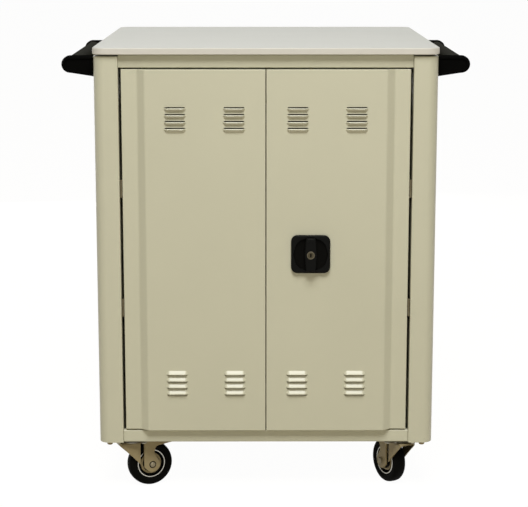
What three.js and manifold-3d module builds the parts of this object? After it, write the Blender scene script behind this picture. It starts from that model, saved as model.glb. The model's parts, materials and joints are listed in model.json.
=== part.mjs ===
// Laptop charging cart: a painted steel cabinet on four swivel casters, with two louvred doors,
// a turning lock, a push handle at each side, and racks, socket strips and a mains inlet inside.
// Millimetres, +Z up. The doors face -Y, +X is the viewer's right and Z = 0 is the floor.

import * as THREE from 'three';
import { mergeVertices } from 'three/addons/utils/BufferGeometryUtils.js';
import Module from 'manifold-3d';

const wasm = await Module();
wasm.setup();

// Whole cart
const bodyWidth = 800;
const bodyDepth = 834;
const overallHeight = 1070;
const casterHeight = 124;
const sheet = 1.5;
const seat = 0.3;
const overcut = 1;

// Worktop
const topThickness = 16;
const topOverhang = 8;
const topSideOverhang = 2;
const topCorner = 30;
const topEdgeRound = 2.5;
const shadowGap = 4;

// Frame and panels
const postWidth = 58;
const postCorner = 25;
const frameSetback = 8;
const sideSetback = 6;
const headerHeight = 31;
const headerLedge = 40;
const railHeight = 30;
const sideLedge = 30;

// Doors
const doorGap = 3;
const hingeGap = 6;
const meetingGap = 2;
const stripSetback = 6;
const stripWidth = 37;
const jogWidth = 18;
const panelProud = 14;
const doorEdgeDepth = 14;
const doorReturn = 13;

// Louvres
const louvreWidth = 51;
const louvreHeight = 12;
const louvreRise = 5;
const louvreWall = 1.2;
const louvrePitch = 16;
const louvreCount = 4;
const louvreColumnX = 142.5;
const louvreColumnSpacing = 137;
const upperLouvreDrop = 116.5;
const lowerLouvreRise = 117.5;

// Hinges
const hingeHeight = 42;
const hingeBarrel = 2.7;
const hingePin = 1.5;
const hingeLeaf = 1.1;
const hingeLeafDepth = 20;
const upperHingeDrop = 279;
const lowerHingeRise = 299;
const pinPlay = 0.15;

// Lock
const lockX = 105;
const escutcheonWidth = 92;
const escutcheonHeight = 90;
const escutcheonThickness = 9;
const escutcheonCorner = 15;
const escutcheonEdge = 2;
const dishRadius = 37.5;
const dishDepth = 5;
const gripWidth = 28;
const gripLength = 70;
const gripHeight = 12;
const shaftRadius = 8;
const plugRadius = 9.5;
const plugDepth = 12;
const plugProud = 1;
const keySlotWidth = 1.6;
const keySlotLength = 8;
const caseWidth = 60;
const caseHeight = 76;
const caseDepth = 14;
const camRadius = 22;
const camThickness = 3;
const rodWidth = 10;
const rodThickness = 3;
const rodInset = 12;
const rodTip = 1.5;

// Push handles
const armHeight = 50;
const armThickness = 26;
const armEndRadius = 20;
const armReach = 80;
const armDrop = 3.6;
const armPostGap = 11;
const armSpacing = 550;
const barRadius = 17;
const barReach = 57.5;

// Casters
const casterSideInset = 75;
const casterEndInset = 51;
const wheelRadius = 55;
const tyreWidth = 32;
const tyreInner = 35;
const wheelSides = 20;
const hubRadius = 11;
const hubWidth = 36;
const rimWidth = 26;
const rimWall = 5;
const webThickness = 6;
const casterTrail = 43.5;
const plateSize = 84;
const plateThickness = 3.5;
const raceRadius = 30;
const raceHeight = 4;
const kingpinRadius = 6;
const kingpinLength = 8;
const forkSheet = 3;
const forkClearance = 3;
const crownThickness = 3;
const crownLead = 38;
const crownTail = 93;
const legTipDrop = 8;
const legEndRadius = 19;
const axleRadius = 6;
const axleHead = 9;
const axleHeadHeight = 6;
const frontLeftYaw = 22;
const frontRightYaw = 119;
const rearLeftYaw = -28;
const rearRightYaw = 205;

// Inside
const shelfDrop = 4;
const shelfInset = 30;
const shelfFlange = 20;
const rackBays = 12;
const rackWidth = 660;
const rackInset = 45;
const rackDepth = 400;
const dividerHeight = 180;
const dividerThickness = 2;
const dividerSlope = 60;
const stripLength = 460;
const stripHeight = 50;
const stripDepth = 44;
const stripAboveFloor = 220;
const inletSideInset = 92;
const inletRise = 96;
const inletFlangeWidth = 50;
const inletFlangeHeight = 32;
const inletFlange = 3;
const inletBodyWidth = 30;
const inletBodyHeight = 22;
const inletBodyDepth = 26;
const inletWall = 2.5;
const inletRecess = 18;
const inletPinWidth = 4;
const inletPinThickness = 2;
const inletPinLength = 12;
const inletPinSpacing = 7;

// Levels and places worked out from the sizes above
const halfWidth = bodyWidth / 2;
const openHalf = halfWidth - postWidth;
const frameBottom = casterHeight;
const topUnderside = overallHeight - topThickness;
const postTop = topUnderside - shadowGap;
const ledgeTop = topUnderside - seat;
const headerBottom = topUnderside - headerHeight;
const railTop = frameBottom + railHeight;
const doorBottom = railTop + doorGap;
const doorTop = headerBottom - doorGap;
const doorEdge = openHalf - hingeGap;
const upperLouvreZ = doorTop - upperLouvreDrop;
const lowerLouvreZ = doorBottom + lowerLouvreRise;
const upperHingeZ = doorTop - upperHingeDrop;
const lowerHingeZ = doorBottom + lowerHingeRise;
const lockZ = (doorBottom + doorTop) / 2;
const armTopZ = postTop - armDrop;
const frontArmY = postWidth + armPostGap;
const rearArmY = frontArmY + armSpacing;
const shelfZ = (frameBottom + topUnderside) / 2 - shelfDrop;
const inletZ = frameBottom + inletRise;
const inletX = openHalf - inletSideInset;
const casterX = halfWidth - casterSideInset;
const casterRearY = bodyDepth - casterEndInset;
const panelFront = stripSetback - panelProud;
const panelBack = panelFront + sheet;
const doorBack = stripSetback + doorEdgeDepth;
const sideFace = halfWidth - sideSetback;
const rearFace = bodyDepth - frameSetback;
const hingeAxisX = openHalf - hingeGap / 2;
const escutcheonBack = panelFront - seat;
const escutcheonFace = escutcheonBack - escutcheonThickness;
const dishFloor = escutcheonFace + dishDepth;
const gripFace = escutcheonFace - gripHeight;
const frontReach = plugProud - gripFace;
const frontY = (frontReach - topOverhang - bodyDepth) / 2;

// Finishes
function finish(color, roughness, metalness) {
  return new THREE.MeshStandardMaterial({ color, roughness, metalness });
}
const creamPaint = finish(0xc9c3a5, 0.5, 0.1);
const laminate = finish(0xdcdad0, 0.45, 0);
const blackPlastic = finish(0x141414, 0.45, 0);
const zinc = finish(0xa39c8a, 0.4, 0.9);
const steel = finish(0x9a978f, 0.35, 1);
const rubber = finish(0x121211, 0.7, 0);
const greyPlastic = finish(0x3c3d3f, 0.5, 0);

// Solids from three.js geometry, joined and cut as closed bodies
function solidOf(geometry) {
  const bare = geometry.clone();
  bare.deleteAttribute('normal');
  bare.deleteAttribute('uv');
  const merged = mergeVertices(bare.index ? bare.toNonIndexed() : bare, 1e-4);
  return new wasm.Manifold(new wasm.Mesh({
    numProp: 3,
    vertProperties: new Float32Array(merged.attributes.position.array),
    triVerts: new Uint32Array(merged.index.array),
  }));
}

function geometryOf(solid) {
  const mesh = solid.getMesh();
  const geometry = new THREE.BufferGeometry();
  geometry.setAttribute('position', new THREE.BufferAttribute(mesh.vertProperties, 3));
  geometry.setIndex(new THREE.BufferAttribute(mesh.triVerts, 1));
  geometry.computeVertexNormals();
  return geometry;
}

function box(x0, x1, y0, y1, z0, z1) {
  const geometry = new THREE.BoxGeometry(x1 - x0, y1 - y0, z1 - z0);
  return solidOf(geometry.translate((x0 + x1) / 2, (y0 + y1) / 2, (z0 + z1) / 2));
}

function shapeOf(points) {
  return new THREE.Shape(points.map(([x, y]) => new THREE.Vector2(x, y)));
}

function pointsOf(shape, divisions) {
  return shape.getPoints(divisions).map((point) => [point.x, point.y]);
}

function mirrored(points, side) {
  return points.map(([x, y]) => [side * x, y]);
}

// A plan outline raised from z0 to z1
function upright(points, z0, z1) {
  const geometry = new THREE.ExtrudeGeometry(shapeOf(points), { depth: z1 - z0, bevelEnabled: false });
  return solidOf(geometry.translate(0, 0, z0));
}

// An outline in X and Z drawn out from y0 to y1
function alongY(points, y0, y1) {
  const geometry = new THREE.ExtrudeGeometry(shapeOf(points), { depth: y1 - y0, bevelEnabled: false });
  return solidOf(geometry.rotateX(Math.PI / 2).translate(0, y1, 0));
}

// An outline in Y and Z drawn out from x0 to x1
const sideways = new THREE.Matrix4().makeBasis(
  new THREE.Vector3(0, 1, 0),
  new THREE.Vector3(0, 0, 1),
  new THREE.Vector3(1, 0, 0),
);
function alongX(points, x0, x1) {
  const geometry = new THREE.ExtrudeGeometry(shapeOf(points), { depth: x1 - x0, bevelEnabled: false });
  return solidOf(geometry.applyMatrix4(sideways).translate(x0, 0, 0));
}

function postRound(radius, x, y, z0, z1, sides) {
  const geometry = new THREE.CylinderGeometry(radius, radius, z1 - z0, sides);
  return solidOf(geometry.rotateX(Math.PI / 2).translate(x, y, (z0 + z1) / 2));
}

function roundAlongY(radius, x, z, y0, y1, sides) {
  const geometry = new THREE.CylinderGeometry(radius, radius, y1 - y0, sides);
  return solidOf(geometry.translate(x, (y0 + y1) / 2, z));
}

// A band of sheet on the right-hand side of a path, as a closed outline
function foldedSheet(path, thickness) {
  const normals = path.slice(1).map(([x, y], i) => {
    const dx = x - path[i][0];
    const dy = y - path[i][1];
    const length = Math.hypot(dx, dy);
    return [dy / length, -dx / length];
  });
  const inner = path.map(([x, y], i) => {
    const a = normals[Math.max(i - 1, 0)];
    const b = normals[Math.min(i, normals.length - 1)];
    const reach = thickness / (1 + a[0] * b[0] + a[1] * b[1]);
    return [x + reach * (a[0] + b[0]), y + reach * (a[1] + b[1])];
  });
  return [...path, ...inner.reverse()];
}

function roundedRectangle(width, height, radius) {
  const shape = new THREE.Shape();
  const x = width / 2 - radius;
  const y = height / 2 - radius;
  shape.absarc(x, y, radius, 0, Math.PI / 2);
  shape.absarc(-x, y, radius, Math.PI / 2, Math.PI);
  shape.absarc(-x, -y, radius, Math.PI, 1.5 * Math.PI);
  shape.absarc(x, -y, radius, 1.5 * Math.PI, 2 * Math.PI);
  return shape;
}

const cart = new THREE.Group();
cart.position.y = frontY;

function piece(name, solid, material, parent = cart) {
  const mesh = new THREE.Mesh(geometryOf(solid), material);
  mesh.name = name;
  parent.add(mesh);
}

// Pressed louvres: a hood standing out of the sheet with one open edge, facing up or down
function louvre(panel, x, z, face, outward, opening) {
  const half = louvreHeight / 2;
  const outline = (points) => points.map(([p, q]) => [face + outward * p, z + opening * q]);
  const hood = outline([[-sheet / 2, -half], [0, -half], [louvreRise, half], [-sheet / 2, half]]);
  const hollow = outline([
    [-sheet - overcut, -half + 2 * louvreWall],
    [0, -half + 2 * louvreWall],
    [louvreRise - louvreWall, half + overcut],
    [-sheet - overcut, half + overcut],
  ]);
  const reach = louvreWidth / 2;
  const inside = reach - louvreWall;
  return panel
    .add(alongX(hood, x - reach, x + reach))
    .subtract(alongX(hollow, x - inside, x + inside));
}

function louvreGroup(panel, x, z, face, outward, opening) {
  let result = panel;
  for (let i = 0; i < louvreCount; i += 1) {
    const rowZ = z + (i - (louvreCount - 1) / 2) * louvrePitch;
    result = louvre(result, x, rowZ, face, outward, opening);
  }
  return result;
}

function louvreColumns(side) {
  return [-1, 1].map((step) => side * (louvreColumnX + (step * louvreColumnSpacing) / 2));
}

// Worktop board with rounded corners and softened edges
function makeWorktop() {
  const width = bodyWidth + 2 * topSideOverhang - 2 * topEdgeRound;
  const depth = bodyDepth + 2 * topOverhang - 2 * topEdgeRound;
  const geometry = new THREE.ExtrudeGeometry(roundedRectangle(width, depth, topCorner - topEdgeRound), {
    depth: topThickness - 2 * topEdgeRound,
    bevelThickness: topEdgeRound,
    bevelSize: topEdgeRound,
    bevelSegments: 1,
    curveSegments: 6,
  });
  const board = solidOf(geometry.translate(0, bodyDepth / 2, topUnderside + topEdgeRound));
  piece('worktop', board, laminate);
}

// Hollow corner posts, open under the worktop, with the outer corner rounded
function postOutline(inset, sideX, sideY) {
  const shape = new THREE.Shape();
  const radius = postCorner - inset;
  shape.moveTo(postWidth - inset, inset);
  shape.lineTo(postWidth - inset, postWidth - inset);
  shape.lineTo(inset, postWidth - inset);
  shape.absarc(postCorner, postCorner, radius, Math.PI, 1.5 * Math.PI);
  return pointsOf(shape, 6).map(([x, y]) => [
    sideX * (halfWidth - x),
    sideY < 0 ? y : bodyDepth - y,
  ]);
}

function makePost(name, sideX, sideY) {
  const shell = upright(postOutline(0, sideX, sideY), frameBottom, postTop);
  const hollow = upright(postOutline(sheet, sideX, sideY), frameBottom + sheet, postTop + overcut);
  piece(name, shell.subtract(hollow), creamPaint);
}

// A plan that reaches the doors between the posts and the side panels between front and rear posts
function crossPlan(front, rear, narrow, wide) {
  const y0 = postWidth + seat;
  const y1 = bodyDepth - postWidth - seat;
  return [
    [-narrow, front], [narrow, front], [narrow, y0], [wide, y0], [wide, y1], [narrow, y1],
    [narrow, rear], [-narrow, rear], [-narrow, y1], [-wide, y1], [-wide, y0], [-narrow, y0],
  ];
}

function insetCross(front, rear, narrow, wide, wall) {
  const y0 = postWidth + seat + wall;
  const y1 = bodyDepth - postWidth - seat - wall;
  const a = narrow - wall;
  const b = wide - wall;
  return [
    [-a, front + wall], [a, front + wall], [a, y0], [b, y0], [b, y1], [a, y1],
    [a, rear - wall], [-a, rear - wall], [-a, y1], [-b, y1], [-b, y0], [-a, y0],
  ];
}

const crossNarrow = openHalf - seat;
const crossWide = sideFace - sheet - seat;

// Base pan: its front edge is the bottom rail under the doors
function makeBasePan() {
  const tray = upright(crossPlan(frameSetback, rearFace, crossNarrow, crossWide), frameBottom, railTop);
  const hollow = upright(
    insetCross(frameSetback, rearFace, crossNarrow, crossWide, sheet),
    frameBottom + sheet,
    railTop + overcut,
  );
  piece('base_pan', tray.subtract(hollow), creamPaint);
}

// Headers: a face under the worktop and a ledge that carries it
function makeHeader(name, face, inward) {
  const path = [[face, headerBottom], [face, ledgeTop], [face + inward * headerLedge, ledgeTop]];
  const band = inward > 0 ? foldedSheet(path, sheet) : foldedSheet([...path].reverse(), sheet);
  piece(name, alongX(band, -crossNarrow, crossNarrow), creamPaint);
}

// Side panels between the posts, folded in at the top under the worktop
function makeSidePanel(name, side) {
  const path = [[sideFace - sideLedge, ledgeTop], [sideFace, ledgeTop], [sideFace, frameBottom]];
  const band = mirrored(foldedSheet(path, sheet), side);
  piece(name, alongY(band, postWidth + seat, bodyDepth - postWidth - seat), creamPaint);
}

// Rear panel on the rear edge of the pan, louvred, with the cut-out of the inlet
function makeRearPanel() {
  const z0 = railTop + seat;
  const z1 = headerBottom - seat;
  let panel = box(-crossNarrow, crossNarrow, rearFace - sheet, rearFace, z0, z1);
  for (const x of [...louvreColumns(-1), ...louvreColumns(1)]) {
    panel = louvreGroup(panel, x, upperLouvreZ, rearFace, 1, -1);
  }
  const wide = inletBodyWidth / 2 + seat;
  const high = inletBodyHeight / 2 + seat;
  const cut = box(
    inletX - wide, inletX + wide, rearFace - sheet - overcut, rearFace + overcut, inletZ - high, inletZ + high,
  );
  piece('rear_panel', panel.subtract(cut), creamPaint);
}

// Doors: one folded sheet with a set-back hinge strip, a slanted jog and a proud main panel
function doorSolid(side) {
  const stripInner = doorEdge - stripWidth;
  const jogInner = stripInner - jogWidth;
  const freeEdge = meetingGap / 2;
  const front = [
    [doorEdge, stripSetback], [stripInner, stripSetback], [jogInner, panelFront], [freeEdge, panelFront],
  ];
  const path = [[doorEdge, doorBack], ...front, [freeEdge, doorBack], [freeEdge + doorReturn, doorBack]];
  const cap = [...front, [freeEdge, doorBack], [doorEdge, doorBack]];
  let leaf = upright(mirrored(foldedSheet(path, sheet), side), doorBottom, doorTop)
    .add(upright(mirrored(cap, side), doorBottom, doorBottom + sheet))
    .add(upright(mirrored(cap, side), doorTop - sheet, doorTop));
  for (const x of louvreColumns(side)) {
    leaf = louvreGroup(leaf, x, upperLouvreZ, panelFront, -1, 1);
    leaf = louvreGroup(leaf, x, lowerLouvreZ, panelFront, -1, -1);
  }
  return leaf;
}

function makeDoors() {
  piece('door_left', doorSolid(-1), creamPaint);
  const shaftHole = roundAlongY(
    shaftRadius + overcut, lockX, lockZ, panelFront - overcut, panelBack + overcut, 20,
  );
  const half = rodWidth / 2 + seat;
  const slot = box(
    lockX - half, lockX + half, rodInset - seat, rodInset + rodThickness + seat,
    doorBottom - overcut, doorTop + overcut,
  );
  piece('door_right', doorSolid(1).subtract(shaftHole).subtract(slot), creamPaint);
}

// Lift-off hinges in the side gaps: the post half carries the pin, the door half turns on it
function makeHinge(name, side, z) {
  const x = side * hingeAxisX;
  const y = stripSetback;
  const low = z - hingeHeight / 2;
  const high = z + hingeHeight / 2;
  const leafBack = y + hingeLeafDepth;
  const postLeaf = [side * (openHalf - seat / 3), side * (openHalf - seat / 3 - hingeLeaf)];
  const doorLeaf = [side * (doorEdge + seat / 3), side * (doorEdge + seat / 3 + hingeLeaf)];
  const postHalf = postRound(hingeBarrel, x, y, low, z - seat, 14)
    .add(box(Math.min(...postLeaf), Math.max(...postLeaf), y, leafBack, low, z - seat))
    .add(postRound(hingePin, x, y, low, high, 10));
  const doorHalf = postRound(hingeBarrel, x, y, z + seat, high, 14)
    .add(box(Math.min(...doorLeaf), Math.max(...doorLeaf), y, leafBack, z + seat, high))
    .subtract(postRound(hingePin + pinPlay, x, y, low, high + overcut, 10));
  piece(`${name}_post_half`, postHalf, steel);
  piece(`${name}_door_half`, doorHalf, steel);
}

// Lock on the right door
function makeLock() {
  const plateOutline = roundedRectangle(
    escutcheonWidth - 2 * escutcheonEdge, escutcheonHeight - 2 * escutcheonEdge, escutcheonCorner - escutcheonEdge,
  );
  const plateGeometry = new THREE.ExtrudeGeometry(plateOutline, {
    depth: escutcheonThickness - escutcheonEdge,
    bevelThickness: escutcheonEdge,
    bevelSize: escutcheonEdge,
    bevelSegments: 1,
    curveSegments: 5,
  });
  plateGeometry.rotateX(Math.PI / 2);
  plateGeometry.translate(lockX, escutcheonBack, lockZ);
  const behind = box(
    lockX - escutcheonWidth, lockX + escutcheonWidth, escutcheonBack, escutcheonBack + escutcheonEdge + overcut,
    lockZ - escutcheonHeight, lockZ + escutcheonHeight,
  );
  const dish = roundAlongY(dishRadius, lockX, lockZ, escutcheonFace - overcut, dishFloor, 28);
  const passage = roundAlongY(
    shaftRadius + seat, lockX, lockZ, escutcheonFace, escutcheonBack + overcut, 20,
  );
  piece('lock_escutcheon', solidOf(plateGeometry).subtract(behind).subtract(dish).subtract(passage), blackPlastic);

  const camFront = rodInset - seat - camThickness;
  const gripOutline = roundedRectangle(gripWidth, gripLength, gripWidth * 0.4);
  const gripPoints = pointsOf(gripOutline, 4).map(([x, z]) => [lockX + x, lockZ + z]);
  const plugBack = gripFace + plugDepth;
  const grip = alongY(gripPoints, gripFace, dishFloor - seat)
    .add(roundAlongY(shaftRadius, lockX, lockZ, dishFloor - overcut, camFront - seat, 20))
    .subtract(roundAlongY(plugRadius + seat, lockX, lockZ, gripFace - overcut, plugBack, 24));
  piece('lock_grip', grip, blackPlastic);

  const slotHalf = keySlotWidth / 2;
  const plug = roundAlongY(plugRadius, lockX, lockZ, gripFace - plugProud, plugBack - seat, 24).subtract(box(
    lockX - slotHalf, lockX + slotHalf, gripFace - plugProud - overcut, gripFace + plugDepth / 2,
    lockZ - keySlotLength / 2, lockZ + keySlotLength / 2,
  ));
  piece('key_plug', plug, steel);

  const caseFront = panelBack + seat;
  const caseBack = caseFront + caseDepth;
  const lockCase = box(
    lockX - caseWidth / 2, lockX + caseWidth / 2, caseFront, caseBack, lockZ - caseHeight / 2, lockZ + caseHeight / 2,
  ).subtract(box(
    lockX - caseWidth / 2 + sheet, lockX + caseWidth / 2 - sheet, caseFront + sheet, caseBack + overcut,
    lockZ - caseHeight / 2 + sheet, lockZ + caseHeight / 2 - sheet,
  )).subtract(roundAlongY(shaftRadius + seat, lockX, lockZ, caseFront - overcut, caseBack, 20));
  piece('lock_case', lockCase, zinc);

  piece('lock_cam', roundAlongY(camRadius, lockX, lockZ, camFront, camFront + camThickness, 24), zinc);

  const rodX = [lockX - rodWidth / 2, lockX + rodWidth / 2];
  const rodY = [rodInset, rodInset + rodThickness];
  const rodStart = camRadius / 2;
  piece('lock_rod_upper', box(...rodX, ...rodY, lockZ + rodStart, doorTop + rodTip), zinc);
  piece('lock_rod_lower', box(...rodX, ...rodY, doorBottom - rodTip, lockZ - rodStart), zinc);
}

// Push handle at one side: two moulded arms and the grip bar between them
function makeHandle(name, side) {
  const inner = sideFace + seat;
  const endX = halfWidth + armReach - armEndRadius;
  const endZ = armTopZ - armEndRadius;
  const shape = new THREE.Shape();
  shape.moveTo(inner, armTopZ - armHeight);
  shape.lineTo(endX, endZ - armEndRadius);
  shape.absarc(endX, endZ, armEndRadius, -Math.PI / 2, Math.PI / 2);
  shape.lineTo(inner, armTopZ);
  const arm = mirrored(pointsOf(shape, 7), side);
  piece(`${name}_front_arm`, alongY(arm, frontArmY, frontArmY + armThickness), blackPlastic);
  piece(`${name}_rear_arm`, alongY(arm, rearArmY, rearArmY + armThickness), blackPlastic);
  const barX = side * (halfWidth + barReach);
  const bar = roundAlongY(barRadius, barX, endZ, frontArmY + armThickness + seat, rearArmY - seat, 16);
  piece(`${name}_bar`, bar, greyPlastic);
}

// Swivel caster in its own frame: the kingpin on Z, the wheel trailing along +X
const crownTop = casterHeight - seat - plateThickness - raceHeight - seat;
const legInner = tyreWidth / 2 + forkClearance;
const legOuter = legInner + forkSheet;

function forkLegOutline() {
  const tip = [-crownLead, crownTop - legTipDrop];
  const run = Math.hypot(tip[0] - casterTrail, tip[1] - wheelRadius);
  const bearing = Math.atan2(tip[1] - wheelRadius, tip[0] - casterTrail);
  const shape = new THREE.Shape();
  shape.moveTo(-crownLead, crownTop);
  shape.lineTo(...tip);
  shape.absarc(
    casterTrail, wheelRadius, legEndRadius, bearing + Math.acos(legEndRadius / run), 2 * Math.PI + Math.PI / 9,
  );
  shape.quadraticCurveTo(casterTrail, crownTop - crownThickness - legTipDrop, crownTail, crownTop - crownThickness);
  shape.lineTo(crownTail, crownTop);
  return pointsOf(shape, 5);
}

function makeFork() {
  const leg = forkLegOutline();
  const bevel = legOuter / 3;
  const crown = [
    [-crownLead, -legOuter + bevel], [-crownLead + bevel, -legOuter], [crownTail - bevel, -legOuter],
    [crownTail, -legOuter + bevel], [crownTail, legOuter - bevel], [crownTail - bevel, legOuter],
    [-crownLead + bevel, legOuter], [-crownLead, legOuter - bevel],
  ];
  const across = legOuter + overcut;
  return upright(crown, crownTop - crownThickness, crownTop)
    .add(alongY(leg, legInner, legOuter))
    .add(alongY(leg, -legOuter, -legInner))
    .subtract(postRound(kingpinRadius + seat, 0, 0, crownTop - 2 * crownThickness, crownTop + overcut, 16))
    .subtract(roundAlongY(axleRadius + seat, casterTrail, wheelRadius, -across, across, 12));
}

// A ring turned about the axle, with a flat side at the bottom
function turnedRing(profile, sides) {
  const stretch = 1 / Math.cos(Math.PI / sides);
  const points = profile.map(([radius, y]) => new THREE.Vector2(radius * stretch, y));
  points.push(points[0].clone());
  const geometry = new THREE.LatheGeometry(points, sides, Math.PI / sides);
  return solidOf(geometry.translate(casterTrail, 0, wheelRadius));
}

function makeTyre() {
  const half = tyreWidth / 2;
  const bead = rimWidth / 2;
  return turnedRing([
    [tyreInner + seat, -bead], [tyreInner + half / 2, -half], [wheelRadius - half / 4, -half * 0.85],
    [wheelRadius, -half / 2], [wheelRadius, half / 2], [wheelRadius - half / 4, half * 0.85],
    [tyreInner + half / 2, half], [tyreInner + seat, bead],
  ], wheelSides);
}

function makeRim() {
  const bore = axleRadius + seat;
  const hub = hubWidth / 2;
  const web = webThickness / 2;
  const edge = rimWidth / 2;
  const drop = tyreInner - rimWall;
  return turnedRing([
    [bore, -hub], [hubRadius, -hub], [drop - web, -web], [drop, -edge], [tyreInner, -edge],
    [tyreInner, edge], [drop, edge], [drop - web, web], [hubRadius, hub], [bore, hub],
  ], wheelSides);
}

function makeAxle() {
  const outer = legOuter + seat;
  const head = outer + axleHeadHeight;
  return roundAlongY(axleRadius, casterTrail, wheelRadius, -head, head, 12)
    .add(roundAlongY(axleHead, casterTrail, wheelRadius, -head, -outer, 6))
    .add(roundAlongY(axleHead, casterTrail, wheelRadius, outer, head, 6));
}

function makePlate() {
  const top = casterHeight - seat;
  const half = plateSize / 2;
  const under = top - plateThickness;
  return box(-half, half, -half, half, under, top)
    .add(postRound(raceRadius, 0, 0, under - raceHeight, under, 20))
    .add(postRound(kingpinRadius, 0, 0, under - raceHeight - kingpinLength, under, 16));
}

function makeCaster(name, x, y, yaw) {
  const fixed = new THREE.Group();
  fixed.position.set(x, y, 0);
  const swivel = new THREE.Group();
  swivel.rotation.z = THREE.MathUtils.degToRad(yaw);
  fixed.add(swivel);
  cart.add(fixed);
  piece(`caster_${name}_plate`, makePlate(), zinc, fixed);
  piece(`caster_${name}_fork`, makeFork(), zinc, swivel);
  piece(`caster_${name}_rim`, makeRim(), zinc, swivel);
  piece(`caster_${name}_tyre`, makeTyre(), rubber, swivel);
  piece(`caster_${name}_axle`, makeAxle(), steel, swivel);
}

// Shelf between the two racks, with a fold under its edge
function makeShelf() {
  const rear = bodyDepth - shelfInset;
  const body = upright(crossPlan(shelfInset, rear, crossNarrow, crossWide), shelfZ - shelfFlange, shelfZ);
  const hollow = upright(
    insetCross(shelfInset, rear, crossNarrow, crossWide, sheet),
    shelfZ - shelfFlange - overcut,
    shelfZ - sheet,
  );
  piece('middle_shelf', body.subtract(hollow), creamPaint);
}

// Laptop rack: a base sheet with upright dividers, sloped at the front
function makeRack(name, floorZ) {
  const base = floorZ + seat;
  const rear = rackInset + rackDepth;
  const top = base + sheet + dividerHeight;
  const comb = [[-rackWidth / 2, base], [rackWidth / 2, base]];
  for (let i = rackBays; i >= 0; i -= 1) {
    const x = -rackWidth / 2 + (i * (rackWidth - dividerThickness)) / rackBays;
    if (i < rackBays) comb.push([x + dividerThickness, base + sheet]);
    comb.push([x + dividerThickness, top], [x, top]);
    if (i > 0) comb.push([x, base + sheet]);
  }
  const slope = [
    [rackInset - overcut, top - dividerSlope - overcut], [rackInset + dividerSlope + overcut, top + overcut],
    [rackInset - overcut, top + overcut],
  ];
  const half = rackWidth / 2 + overcut;
  const rack = alongY(comb, rackInset, rear).subtract(alongX(slope, -half, half));
  piece(name, rack, creamPaint);
}

// Socket strip on the inside of the rear panel
function makeSocketStrip(name, floorZ) {
  const back = rearFace - sheet - seat;
  const low = floorZ + stripAboveFloor;
  const chamfer = stripDepth / 6;
  const outline = [
    [back, low], [back, low + stripHeight], [back - stripDepth + chamfer, low + stripHeight],
    [back - stripDepth, low + stripHeight - chamfer], [back - stripDepth, low + chamfer],
    [back - stripDepth + chamfer, low],
  ];
  piece(name, alongX(outline, -stripLength / 2, stripLength / 2), greyPlastic);
}

// Mains inlet in the rear panel: a flanged housing, a recess for the connector and three pins
function makeInlet() {
  const face = rearFace + seat + inletFlange;
  const wide = inletBodyWidth / 2;
  const high = inletBodyHeight / 2;
  const recessFloor = face - inletRecess;
  let inlet = box(
    inletX - inletFlangeWidth / 2, inletX + inletFlangeWidth / 2, rearFace + seat, face,
    inletZ - inletFlangeHeight / 2, inletZ + inletFlangeHeight / 2,
  ).add(box(inletX - wide, inletX + wide, face - inletBodyDepth, face, inletZ - high, inletZ + high));
  inlet = inlet.subtract(box(
    inletX - wide + inletWall, inletX + wide - inletWall, recessFloor, face + overcut,
    inletZ - high + inletWall, inletZ + high - inletWall,
  ));
  for (const step of [-1, 0, 1]) {
    const x = inletX + step * inletPinSpacing;
    const z = inletZ + (step === 0 ? inletPinWidth / 2 : -inletPinWidth / 2);
    inlet = inlet.add(box(
      x - inletPinThickness / 2, x + inletPinThickness / 2, recessFloor - overcut, recessFloor + inletPinLength,
      z - inletPinWidth / 2, z + inletPinWidth / 2,
    ));
  }
  piece('mains_inlet', inlet, blackPlastic);
}

makeWorktop();
makePost('post_front_left', -1, -1);
makePost('post_front_right', 1, -1);
makePost('post_rear_left', -1, 1);
makePost('post_rear_right', 1, 1);
makeBasePan();
makeHeader('front_header', frameSetback, 1);
makeHeader('rear_header', rearFace, -1);
makeSidePanel('side_panel_left', -1);
makeSidePanel('side_panel_right', 1);
makeRearPanel();
makeDoors();
makeHinge('hinge_upper_left', -1, upperHingeZ);
makeHinge('hinge_lower_left', -1, lowerHingeZ);
makeHinge('hinge_upper_right', 1, upperHingeZ);
makeHinge('hinge_lower_right', 1, lowerHingeZ);
makeLock();
makeHandle('handle_left', -1);
makeHandle('handle_right', 1);
makeCaster('front_left', -casterX, casterEndInset, frontLeftYaw);
makeCaster('front_right', casterX, casterEndInset, frontRightYaw);
makeCaster('rear_left', -casterX, casterRearY, rearLeftYaw);
makeCaster('rear_right', casterX, casterRearY, rearRightYaw);
makeShelf();
makeRack('rack_upper', shelfZ);
makeRack('rack_lower', frameBottom + sheet);
makeSocketStrip('socket_strip_upper', shelfZ);
makeSocketStrip('socket_strip_lower', frameBottom + sheet);
makeInlet();

export default cart;
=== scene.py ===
import json
import math

import bmesh
import bpy
from mathutils import Matrix, Vector


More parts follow.
